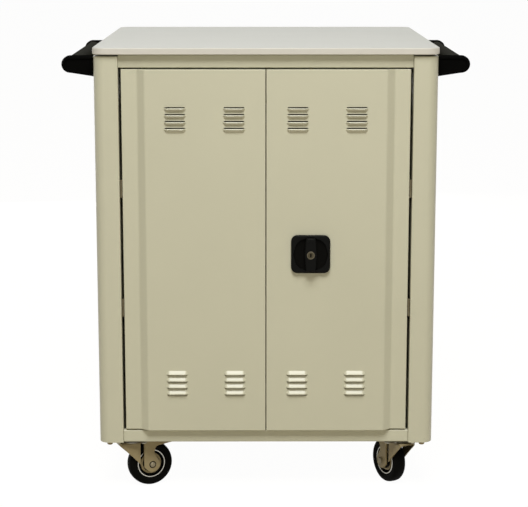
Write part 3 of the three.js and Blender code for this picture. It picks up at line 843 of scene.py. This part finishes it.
def rear_panel():
    """Rear panel with louvres and the cut-out of the mains inlet, screwed on at both sides."""
    fold, lip, screw_inset = 2, 10, 14
    low, high = rear_low, rear_high
    face = span("base_pan")[1].y
    columns = [side * x for side in (-1, 1) for x in louvre_columns]
    heights = louvre_levels(upper_louvre_z)
    inlet_low, inlet_high = span("mains_inlet")
    inlet = (inlet_low + inlet_high) / 2
    body_wide, body_high = 15.3, 11.3
    cuts = windows(columns, heights, face, -1)
    cuts.append(((inlet.x - body_wide, inlet.x + body_wide), (face - 1, face + 1),
                 (inlet.z - body_high, inlet.z + body_high)))
    path = [(high.x, face - lip), (high.x, face), (low.x, face), (low.x, face - lip)]
    path = rounded(path, [0, fold, fold, 0], closed=False)
    path = split(path, 0, [edge for cut in cuts for edge in cut[0]])
    rows = levels(low.z, high.z, *{edge for cut in cuts for edge in cut[2]})
    panel = folded(path, rows, plan, cuts)
    whole = joined(panel, hoods(columns, heights, face, 1, -1))
    piece("rear_panel_sheet", whole, "cream_paint", "cabinet", ["rear_panel"])
    spots = [
        (side * (high.x - screw_inset), -z, 0)
        for side in (-1, 1) for z in (low.z + 30, (low.z + high.z) / 2, high.z - 30)
    ]
    stand = axes((1, 0, 0), (0, 0, -1), (0, 1, 0), (0, face, 0))
    bm = grown(screw_tree, spots, "zinc", {"Radius": 4.5, "Height": 2.2}, stand)
    piece("rear_panel_screws", bm, "zinc", "cabinet")


# Doors
strip_face, panel_face, door_back = 6, -8, 20


def door(side):
    """Door folded from one sheet: hinge strip, slanted jog, proud main panel and a return at the free edge."""
    name = "door_right" if side > 0 else "door_left"
    free, edge = 1, door_high.x
    strip_inner, jog_inner = edge - 37, edge - 37 - 18
    end_fold = 1.3
    path = [
        (free + 13, door_back), (free, door_back), (free, panel_face), (jog_inner, panel_face),
        (strip_inner, strip_face), (edge, strip_face), (edge, door_back),
    ]
    path = rounded(path, [0, 2.2, 1.4, 9, 9, 2.2, 0], closed=False, steps=8)
    if side < 0:
        path = [Vector((-p.x, p.y)) for p in path[::-1]]
    columns = [side * x for x in louvre_columns]
    upper, lower = louvre_levels(upper_louvre_z), louvre_levels(lower_louvre_z)
    cuts = windows(columns, upper, panel_face, 1) + windows(columns, lower, panel_face, -1)
    path = split(path, 0, {edge for cut in cuts for edge in cut[0]})
    ends = edge_rows(door_low.z, door_high.z, end_fold, end_fold)
    rows = sorted(ends + levels(*{edge for cut in cuts for edge in cut[2]}), key=lambda row: row[1])
    shell = folded(path, rows, plan, cuts, caps=True)
    if side > 0:
        slots = bmesh.new()
        outline = [(x, y) for x, y in zip(
            (rod_slot[0][0], rod_slot[0][1], rod_slot[0][1], rod_slot[0][0]),
            (rod_slot[1][0], rod_slot[1][0], rod_slot[1][1], rod_slot[1][1]),
        )]
        for level in (door_low.z, door_high.z):
            slab(slots, [Vector(p) for p in outline], level - 5, level + 5)
        shell = carved(shell, slots)
    whole = joined(
        shell,
        hoods(columns, upper, panel_face, -1, 1),
        hoods(columns, lower, panel_face, -1, -1),
    )
    body = "right_door" if side > 0 else "left_door"
    piece(f"{name}_leaf", whole, "cream_paint", body, [name])


def hinges():
    """Lift-off hinges: a rounded knuckle on each half, a leaf, and the pin that shows at the top."""
    barrel, leaf, leaf_depth = 2.7, 1.1, 20
    for level in ("upper", "lower"):
        for hand, side in (("left", -1), ("right", 1)):
            for half, body in (("post_half", "cabinet"), ("door_half", f"{hand}_door")):
                node = f"hinge_{level}_{hand}_{half}"
                low, high = span(node)
                axis = Vector((side * (open_half - 3), strip_face, 0))
                top = high.z if half == "door_half" else span(node.replace("post", "door"))[0].z - 0.6
                bm = bmesh.new()
                profile = edge_rows(low.z, top, 0.6, 0.6, 3)
                turned(bm, [(barrel - inset, level_z) for inset, level_z in profile], axis, sides=24)
                face = side * (open_half - 0.1) if half == "post_half" else side * (door_high.x + 0.1)
                step = -side * leaf if half == "post_half" else side * leaf
                outline = [(face, strip_face), (face + step, strip_face),
                           (face + step, strip_face + leaf_depth), (face, strip_face + leaf_depth)]
                slab(bm, [Vector(p) for p in outline], low.z, top, 0.3, 0.3)
                if half == "post_half":
                    pin_top = span(node.replace("post", "door"))[1].z + 0.4
                    turned(bm, [(1.6, top - 1), (1.6, pin_top - 0.3), (1.2, pin_top)], axis, sides=16)
                piece(f"{node}_knuckle", bm, "steel", body, [node], paint=hinge_steel)


# Lock
lock_low, lock_high = span("lock_escutcheon")
lock_x = (lock_low.x + lock_high.x) / 2
lock_z = (lock_low.z + lock_high.z) / 2
shaft_bore = 8.3


def on_lock(points, depth):
    return [Vector((lock_x + p.x, depth, lock_z + p.y)) for p in points]


def round_like(outline, radius):
    """A circle with a point in the direction of each point of an outline."""
    return [p.normalized() * radius for p in outline]


def escutcheon():
    """Black rosette: a square with round corners and a round dish that the grip turns in."""
    corner, edge, lip = 15, 3, 0.9
    dish, dish_depth = 41.2, 5
    back, face = lock_high.y, lock_low.y
    outline = rectangle(lock_high.x - lock_low.x, lock_high.z - lock_low.z, corner, steps=14)
    outline = [p for a, b in zip(outline, outline[1:] + outline[:1]) for p in (a, (a + b) / 2)]
    floor = face + dish_depth
    loops = [on_lock(offset(outline, inset, True), back - rise) for inset, rise in
             edge_rows(0, back - face, 0, edge, 5)]
    loops += [on_lock(round_like(outline, dish + lip * (1 - math.sin(t))), face + lip * (1 - math.cos(t)))
              for t in (0, math.pi / 4, math.pi / 2)]
    fillet = 2.0
    loops += [on_lock(round_like(outline, dish - fillet * (1 - math.cos(t))), floor - fillet * (1 - math.sin(t)))
              for t in (0, math.pi / 6, math.pi / 3, math.pi / 2)]
    loops += [on_lock(round_like(outline, shaft_bore), y) for y in (floor, back)]
    bm = bmesh.new()
    loft(bm, loops, ring=True)
    # Faces inside the dish get near-black as painted shade in the recess
    for part in bm.faces:
        spot = part.calc_center_median()
        part.material_index = int(math.hypot(spot.x - lock_x, spot.z - lock_z) < dish + 0.5 and spot.y > face + 0.2)
    piece("lock_rosette", bm, "black_plastic", "right_door", ["lock_escutcheon"], [painted_shade_black], paint=lock_plastic)


def grip():
    """Turning grip: a bar with rounded ends, drawn in towards its face, on a round boss."""
    low, high = span("lock_grip")
    key_low, key_high = span("key_plug")
    face, root = low.y, lock_low.y + 5 - clearance
    half_length, half_waist, half_end, tip = (high.z - low.z) / 2 + 4.5, (high.x - low.x) / 2, 11, 5
    corners = [
        (-half_waist, 0), (-half_end, -half_length), (half_end, -half_length),
        (half_waist, 0), (half_end, half_length), (-half_end, half_length),
    ]
    outline = rounded(corners, [60, tip, tip, 60, tip, tip], steps=12)
    bore = (key_high.x - key_low.x) / 2 + clearance
    loops = [on_lock(offset(outline, inset, True), root - rise) for inset, rise in
             edge_rows(0, root - face, 0.8, 2.8, 6)]
    loops += [on_lock(round_like(outline, bore + 0.6), face), on_lock(round_like(outline, bore), face + 0.6)]
    loops += [on_lock(round_like(outline, bore), face + 12)]
    bm = bmesh.new()
    loft(bm, loops)
    turned(bm, [(8, root - 1), (8, high.y)], (lock_x, 0, lock_z), facing, 32)
    piece("lock_turning_grip", bm, "black_plastic", "lock_handle", ["lock_grip"], paint=lock_plastic)


def key_cylinder():
    """Key plug with a bevelled rim and its keyway."""
    low, high = span("key_plug")
    radius, face = (high.x - low.x) / 2, low.y
    bm = bmesh.new()
    rim = radius - 2.6
    profile = [(radius, high.y), (radius, face + 1.2), (radius - 0.9, face), (rim + 0.4, face),
               (rim, face + 0.8), (2, face + 0.8)]
    turned(bm, profile, (lock_x, 0, lock_z), facing, 40)
    keyway = bmesh.new()
    slot_width, slot_height = 3.4, 9
    slot = rectangle(slot_width, slot_height, 1.2, (lock_x, lock_z), 3)
    slab(keyway, slot, face - 2, face + 6, place=facing)
    plug = carved(bm, keyway)
    # The keyway's inner faces get near-black as painted shade; the sunk inner disc gets a darker bronze
    for part in plug.faces:
        spot = part.calc_center_median() - Vector((lock_x, face, lock_z))
        in_slot = abs(spot.x) < slot_width / 2 + 0.1 and abs(spot.z) < slot_height / 2 + 0.1
        if in_slot and spot.y > 1:
            part.material_index = 1
        elif math.hypot(spot.x, spot.z) < rim:
            part.material_index = 2
    piece("key_cylinder_plug", plug, "steel", "key_cylinder", ["key_plug"], [painted_shade_black, lock_bronze],
          paint=lock_ring)


def lock_works():
    """Lock case, cam and rods behind the door."""
    piece("lock_case_box", softened("lock_case", 0.6), "zinc", "right_door", ["lock_case"])
    cam_low, cam_high = span("lock_cam")
    cam = softened("lock_cam", 0.5)
    stand = axes((1, 0, 0), (0, 0, -1), (0, 1, 0), (lock_x, cam_high.y, lock_z))
    sizes = {"Radius": 6, "Height": 3.4, "Washer": 8.5, "Washer Height": 0.9}
    nut = grown(bolt_tree, [(0, 0, 0)], "zinc", sizes, stand)
    piece("lock_cam_disc", joined(cam, nut), "zinc", "lock_handle", ["lock_cam"])
    for end, body in (("upper", "upper_rod"), ("lower", "lower_rod")):
        node = f"lock_rod_{end}"
        piece(f"{node}_bar", softened(node, 0.6), "zinc", body, [node])


# Push handles
def arm_outline(low, high, side, margin):
    """Side of a handle arm, drawn in by a margin: deep at the cart, with a round outer end."""
    end_radius, root_radius, throat = 20, 6, 40
    inner, outer = (high.x, low.x) if side < 0 else (low.x, high.x)
    tip = outer - side * end_radius
    under = high.z - 2 * end_radius + margin
    root, reach, top = inner + side * margin, outer - side * margin, high.z - margin
    corners = [(root, low.z + margin), (tip, under), (reach, under), (reach, top), (root, top)]
    nose = end_radius - margin - 0.01
    return rounded(corners, [root_radius, throat, nose, nose, root_radius], steps=12)


def handles():
    """Push handles: moulded arms with soft edges and a sunk outer face, and a grip bar between them."""
    edge, rim, wall, recess = 4.5, 7, 1.2, 2.4
    collar, step = 9, 0.5
    for hand, side in (("left", -1), ("right", 1)):
        for end in ("front", "rear"):
            node = f"handle_{hand}_{end}_arm"
            low, high = span(node)
            near, far = (low.y, high.y) if end == "front" else (high.y, low.y)
            into = 1 if end == "front" else -1
            rows = [(rim + wall, near + into * recess), (rim, near)]
            rows += [(inset, near + into * rise) for inset, rise in edge_rows(0, abs(far - near), edge, edge, 6)]
            rows.append((rim, far))
            bm = bmesh.new()
            loft(bm, [[facing(*p, level) for p in arm_outline(low, high, side, inset)] for inset, level in rows])
            piece(f"{node}_moulding", bm, "black_plastic", "cabinet", [node])
        node = f"handle_{hand}_bar"
        low, high = span(node)
        radius, centre = (high.x - low.x) / 2, (low + high) / 2
        profile = [(radius - 1, low.y), (radius, low.y + 1), (radius, low.y + collar)]
        profile.append((radius - step, low.y + collar + 1))
        profile += [(r, low.y + high.y - y) for r, y in profile[::-1]]
        bm = bmesh.new()
        turned(bm, profile, (centre.x, 0, centre.z), facing, 40)
        piece(f"{node}_grip", bm, "grey_plastic", "cabinet", [node])


# Casters, drawn with the kingpin on the origin and the wheel trailing along +X
trail, wheel_radius, tyre_inner = 43.5, 55, 35
leg_inner, leg_outer = 19, 22
crown_top, crown_thickness = 115.9, 4.6
crown_lead, crown_tail, tip_drop, leg_end = 39.5, 93, 5, 19


# The web wraps round the front of the fork, and a gap parts it from the column that holds the axle
web_end, column_start, column_proud = 13.2, 22.3, 1.6
front_corner, tail_corner, tail_drop = 6, 7.3, 9


def column_outline():
    """Column of a fork leg: a slanted leading edge, a round end at the axle and a hollow trailing edge."""
    tip = Vector((-crown_lead, crown_top - tip_drop))
    axle = Vector((trail, wheel_radius))
    to_tip = tip - axle
    start = math.atan2(to_tip.y, to_tip.x) + math.acos(leg_end / to_tip.length)
    end = math.tau + math.pi / 9
    steps = 26
    arc = [start + (end - start) * k / steps for k in range(steps + 1)]
    round_end = [axle + leg_end * Vector((math.cos(a), math.sin(a))) for a in arc]
    share = (column_start - tip.x) / (round_end[0].x - tip.x)
    points = [Vector((column_start, crown_top)), tip.lerp(round_end[0], share), *round_end]
    neck, elbow = (trail + 4, crown_top - 32), (trail + 9, crown_top - 15)
    tail = (crown_tail, crown_top - tail_drop)
    points += rounded([points[-1], neck, elbow, tail], [0, 16, 12, 0], closed=False, steps=8)[1:]
    points += [Vector((crown_tail, crown_top - 1)), Vector((crown_tail - 6, crown_top))]
    return points


def web_foot(x):
    """Lower edge of the web: a hollow curve that falls away from the front."""
    run = x + crown_lead
    return crown_top - tip_drop - run * (0.9 + 0.1 * run / (web_end + crown_lead))


def web_mesh():
    """Leading web of a fork, in one strip from leg to leg round the front."""
    corners = [(web_end, -leg_outer), (-crown_lead, -leg_outer), (-crown_lead, leg_outer), (web_end, leg_outer)]
    path = rounded(corners, [0, front_corner, front_corner, 0], closed=False, steps=10)
    path = split(path, 0, [web_end - 4 * k for k in range(1, 10)])
    inner = offset(path, leg_inner - leg_outer)
    top = crown_top - 0.5
    loops = []
    for out, back in zip(path, inner):
        foot = web_foot(out.x)
        loops.append([Vector((*out, foot)), Vector((*out, top)), Vector((*back, top)), Vector((*back, foot))])
    bm = bmesh.new()
    loft(bm, loops)
    soften = {"width": 0.8, "segments": 2, "limit_method": "ANGLE", "angle_limit": math.radians(50)}
    return evaluated(bm, ("BEVEL", soften))


def fork_mesh():
    """Pressed fork: crown plate, leading web and the two columns."""
    columns = bmesh.new()
    for side in (-1, 1):
        low, high = sorted((side * leg_inner, side * (leg_outer + column_proud)))
        rims = (0.4, 1) if side > 0 else (1, 0.4)
        slab(columns, column_outline(), low, high, *rims, facing, 3)
    x0, x1, y = -crown_lead, crown_tail, leg_outer
    corners = [(x0, -y), (x1, -y), (x1, y), (x0, y)]
    crown = bmesh.new()
    outline = rounded(corners, [front_corner, tail_corner, tail_corner, front_corner])
    slab(crown, outline, crown_top - crown_thickness, crown_top, 0.4, 1.4)
    fork = joined(columns, web_mesh(), crown)
    # Inner faces between the legs get the dark zinc as painted shade
    for face in fork.faces:
        centre = face.calc_center_median()
        in_painted_shade = abs(centre.y) < leg_inner + 0.2 and centre.x > 1 - crown_lead
        face.material_index = int(in_painted_shade and centre.z < crown_top - 1)
    return fork


def rim_mesh():
    """Wheel centre: a bright lip, hollows painted near-black as shade, a pressed ring and the hub."""
    bm = bmesh.new()
    edge, hub, web = 13, 18, 3
    half = [
        (6.3, hub), (11, hub), (11.8, hub - 0.8), (14, 9), (20.5, 8), (21.5, 10.5), (25.5, 10.5), (26.5, 8),
        (29, web + 1), (31, web + 2), (32.4, edge - 0.5), (32.9, edge + 0.4), (34.4, edge + 0.4), (34.9, edge - 0.2),
    ]
    profile = half + [(r, -y) for r, y in half[::-1]]
    turned(bm, profile, (trail, 0, wheel_radius), facing, 56, ring=True)
    axle = Vector((trail, 0, wheel_radius))
    # The outer lip gets bright ring steel; the two sunk annuli get near-black as painted shade in the hollows
    for face in bm.faces:
        centre = face.calc_center_median() - axle
        distance = math.hypot(centre.x, centre.z)
        if distance > 32.4:
            face.material_index = 1
        elif 26 < distance <= 32.4 or distance < 20.4 and distance > 12:
            face.material_index = 2
    return bm


def tyre_mesh():
    """Tyre with a crowned tread, round shoulders and a fine mould line."""
    bm = bmesh.new()
    inner = tyre_inner + clearance
    half = [(inner, 12.6), (inner + 1, 13.4), (41, 15.6), (45, 16), (49, 15.2), (52, 13.2), (53.9, 10.4),
            (54.8, 6.6), (55, 2.6), (55, 0.5)]
    profile = half + [(r, -y) for r, y in half[::-1]]
    turned(bm, profile, (trail, 0, wheel_radius), facing, 72, ring=True)
    return bm


def axle_mesh():
    """Axle with a domed head on one side and a nut on a washer on the other."""
    bm = bmesh.new()
    centre = (trail, 0, wheel_radius)
    start = leg_outer + column_proud
    turned(bm, [(6, -start - 2), (6, start + 2)], centre, facing, 24)
    # A thin near-black ring round the head, as a painted shadow in the gap round the dome
    painted_shadow_ring = [(8.6, 0), (8.6, 0.5), (6.4, 0.5)]
    turned(bm, [(r, -start - h) for r, h in painted_shadow_ring], centre, facing, 36)
    for face in bm.faces:
        face.material_index = int(face.calc_center_median().y < -start)
    dome = [(6.6, 0), (6.6, 1.0), (6.2, 2.0), (5.2, 2.9), (3.4, 3.6), (1.2, 3.9)]
    turned(bm, [(r, -start - h) for r, h in dome], centre, facing, 36)
    washer = [(9.6, 0), (9.6, 1.0), (9.2, 1.3)]
    turned(bm, [(r, start + h) for r, h in washer], centre, facing, 36)
    nut = [(7.4, 1.3), (7.8, 1.6), (7.8, 3.8), (7.0, 4.4)]
    turned(bm, [(r, start + h) for r, h in nut], centre, facing, 6)
    return bm


def plate_mesh():
    """Top plate, the swivel race under it and the end of the kingpin."""
    bm = bmesh.new()
    top, under = frame_bottom - clearance, frame_bottom - clearance - 3.5
    slab(bm, rectangle(78, 78, 9, steps=6), under, top, 0.8, 0.4)
    race = [(30, under), (30, under - 0.8), (29, under - 1.6), (29, under - 2.2), (30, under - 3), (29.4, under - 4)]
    plate_faces = len(bm.faces)
    turned(bm, race, sides=48)
    for face in bm.faces[plate_faces:]:
        face.material_index = 1
    turned(bm, [(6, under - 4), (6, under - 11.5), (5.4, under - 12)], sides=24)
    return bm


def casters():
    """Four swivel casters, each turned to its own heading."""
    bolt_spots = []
    for name in ("front_left", "front_right", "rear_left", "rear_right"):
        swivel = joint_named(f"{name}_swivel_turn")
        pivot = Vector(swivel["pos_m"]) / mm - Vector((0, front / mm, 0))
        wheel = joint_named(f"{name}_wheel_roll")
        hub = Vector(wheel["pos_m"]) / mm - Vector((0, front / mm, 0))
        heading = math.atan2(hub.y - pivot.y, hub.x - pivot.x)
        fixed = Matrix.Translation((pivot.x, pivot.y, 0))
        turn = fixed @ Matrix.Rotation(heading, 4, "Z")
        node = f"caster_{name}"
        # The top plate is drawn in dark zinc, as painted shade under the rail
        piece(f"{node}_top_plate", plate_mesh(), "zinc", "cabinet", [f"{node}_plate"], [bright_ring], place=fixed,
              paint=plate_zinc)
        piece(f"{node}_pressed_fork", fork_mesh(), "zinc", f"{name}_swivel", [f"{node}_fork"], [plate_zinc],
              place=turn)
        swivel_body = f"{name}_swivel"
        piece(f"{node}_axle_bolt", axle_mesh(), "steel", swivel_body, [f"{node}_axle"], [painted_shade_black], place=turn,
              paint=axle_steel)
        extra = [bright_ring, painted_shade_black]
        piece(f"{node}_wheel_centre", rim_mesh(), "zinc", f"{name}_wheel", [f"{node}_rim"], extra, place=turn)
        piece(f"{node}_solid_tyre", tyre_mesh(), "rubber", f"{name}_wheel", [f"{node}_tyre"], place=turn)
        bolt_spots += [(pivot.x + x, -pivot.y - y, 0) for x in (-30, 30) for y in (-30, 30)]
    under = frame_bottom - clearance - 3.5
    stand = axes((1, 0, 0), (0, -1, 0), (0, 0, -1), (0, 0, under))
    sizes = {"Radius": 6.6, "Height": 2.9, "Washer": 8, "Washer Height": 0.8}
    piece("caster_bolts", grown(bolt_tree, bolt_spots, "steel", sizes, stand), "steel", "cabinet")
    foot = [(side * 376, -y, 0) for side in (-1, 1) for y in (13, body_depth - 13)]
    stand = axes((1, 0, 0), (0, -1, 0), (0, 0, -1), (0, 0, frame_bottom))
    sizes = {"Radius": 6.8, "Height": 6.2, "Washer": 8, "Washer Height": 0.9}
    piece("post_foot_bolts", grown(bolt_tree, foot, "zinc", sizes, stand), "zinc", "cabinet")


def middle_shelf():
    """Shelf whose front corners are notched, so that it stays out of the gaps beside the doors."""
    notch_start, notch_width, notch_depth = 332, 20, 90
    low, high = span("middle_shelf")
    notches = bmesh.new()
    for side in (-1, 1):
        centre = (side * (notch_start + notch_width / 2), notch_depth / 2)
        slab(notches, rectangle(notch_width, notch_depth, 3, centre, 3), low.z - 1, high.z + 1)
    shelf = carved(softened("middle_shelf", 0.6), notches)
    piece("middle_shelf_sheet", shelf, "cream_paint", "cabinet", ["middle_shelf"])


def inside():
    """Racks, socket strips and mains inlet."""
    for level in ("upper", "lower"):
        node = f"rack_{level}"
        piece(f"{node}_comb", softened(node, 0.5), "cream_paint", "cabinet", [node])
        node = f"socket_strip_{level}"
        low, high = span(node)
        strip = softened(node, 1.2)
        spots = [((k - 3.5) * 52, -(low.z + high.z) / 2, 0) for k in range(8)]
        stand = axes((-1, 0, 0), (0, 0, -1), (0, -1, 0), (0, low.y, 0))
        sizes = {"Radius": 17, "Height": 2.4, "Pin": 2.4, "Spacing": 19}
        sockets = grown(socket_tree, spots, "grey_plastic", sizes, stand)
        piece(f"{node}_housing", joined(strip, sockets), "grey_plastic", "cabinet", [node], paint=strip_plastic)
    piece("mains_inlet_housing", softened("mains_inlet", 0.4), "black_plastic", "cabinet", ["mains_inlet"])


def camera():
    """The view: a long lens a little above the cart, looking down at its middle."""
    frame_width = 528
    focal = 1682.6
    place = Vector((-14.1, -3889.8, 1338.3))
    pitch, yaw = 10.919, -0.142
    data = bpy.data.cameras.new("camera")
    data.sensor_width = 36
    data.lens = data.sensor_width * focal / frame_width
    data.clip_end = 60
    obj = bpy.data.objects.new("camera", data)
    obj.location = to_cart @ place
    obj.rotation_euler = (math.radians(90 - pitch), 0, math.radians(yaw))
    scene.collection.objects.link(obj)
    scene.camera = obj


def seen_share(nodes):
    """1 for rays that show the background to the camera, a mirror or a lens."""
    path = nodes.node("ShaderNodeLightPath")
    outputs = path.socket.node.outputs
    rays = [Value(nodes, outputs[f"Is {kind} Ray"]) for kind in ("Camera", "Glossy", "Transmission")]
    return (rays[0] + rays[1] + rays[2]).at_most(1)


def stage():
    """White surroundings, a pale floor that keeps a faint shadow, and soft lamps."""
    ambient, floor_glow, floor_level = 0.14, 0.9, 1.08
    warm, white = (1, 0.91, 0.66, 1), grey(1)
    world = bpy.data.worlds.new("studio")
    scene.world = world
    world.use_nodes = True
    nodes = Nodes(world.node_tree)
    backdrop = world.node_tree.nodes["Background"]
    seen = seen_share(nodes)
    nodes.feed(backdrop.inputs["Color"], nodes.mix(seen, warm, white))
    nodes.feed(backdrop.inputs["Strength"], ambient + (1 - ambient) * seen)
    pale = bpy.data.materials.new("studio_floor")
    pale.use_nodes = True
    nodes = Nodes(pale.node_tree)
    shader = nodes.node("ShaderNodeBsdfDiffuse", {}, {"Color": (0.5, 0.45, 0.35, 1)})
    glow = nodes.node("ShaderNodeEmission", {}, {"Color": white, "Strength": floor_level})
    share = floor_glow * seen_share(nodes)
    blend = nodes.node("ShaderNodeMixShader", {}, {0: share, 1: shader, 2: glow})
    pale.node_tree.links.new(blend.socket, pale.node_tree.nodes["Material Output"].inputs["Surface"])
    bm = bmesh.new()
    bmesh.ops.create_grid(bm, x_segments=1, y_segments=1, size=40)
    mesh = bpy.data.meshes.new("floor")
    bm.to_mesh(mesh)
    bm.free()
    mesh.materials.append(pale)
    floor = bpy.data.objects.new("floor", mesh)
    scene.collection.objects.link(floor)
    aim = Vector((0, 0, 0.55))
    lamps = (
        ("overhead_softbox", (0.0, -4.0, 6.2), 3.0, 450, white),
        ("front_fill", (0.7, -4.7, 1.2), 2.6, 24, (1, 0.94, 0.78, 1)),
        ("rear_fill", (-0.6, 4.0, 0.9), 3.0, 70, white),
        ("left_fill", (-3.4, 0.8, 1.2), 2.0, 4, white),
        ("right_fill", (3.4, 0.9, 1.2), 2.0, 2.5, white),
    )
    for name, place, size, power, colour in lamps:
        data = bpy.data.lights.new(name, "AREA")
        data.shape = "SQUARE"
        data.size = size
        data.energy = power
        data.color = colour[:3]
        lamp = bpy.data.objects.new(name, data)
        lamp.location = place
        lamp.rotation_euler = (aim - Vector(place)).to_track_quat("-Z", "Y").to_euler()
        scene.collection.objects.link(lamp)
    scene.view_settings.view_transform = "Standard"


camera()
stage()
worktop()
posts()
headers()
base_pan()
side_panels()
rear_panel()
door(-1)
door(1)
hinges()
escutcheon()
grip()
key_cylinder()
lock_works()
handles()
casters()
middle_shelf()
inside()
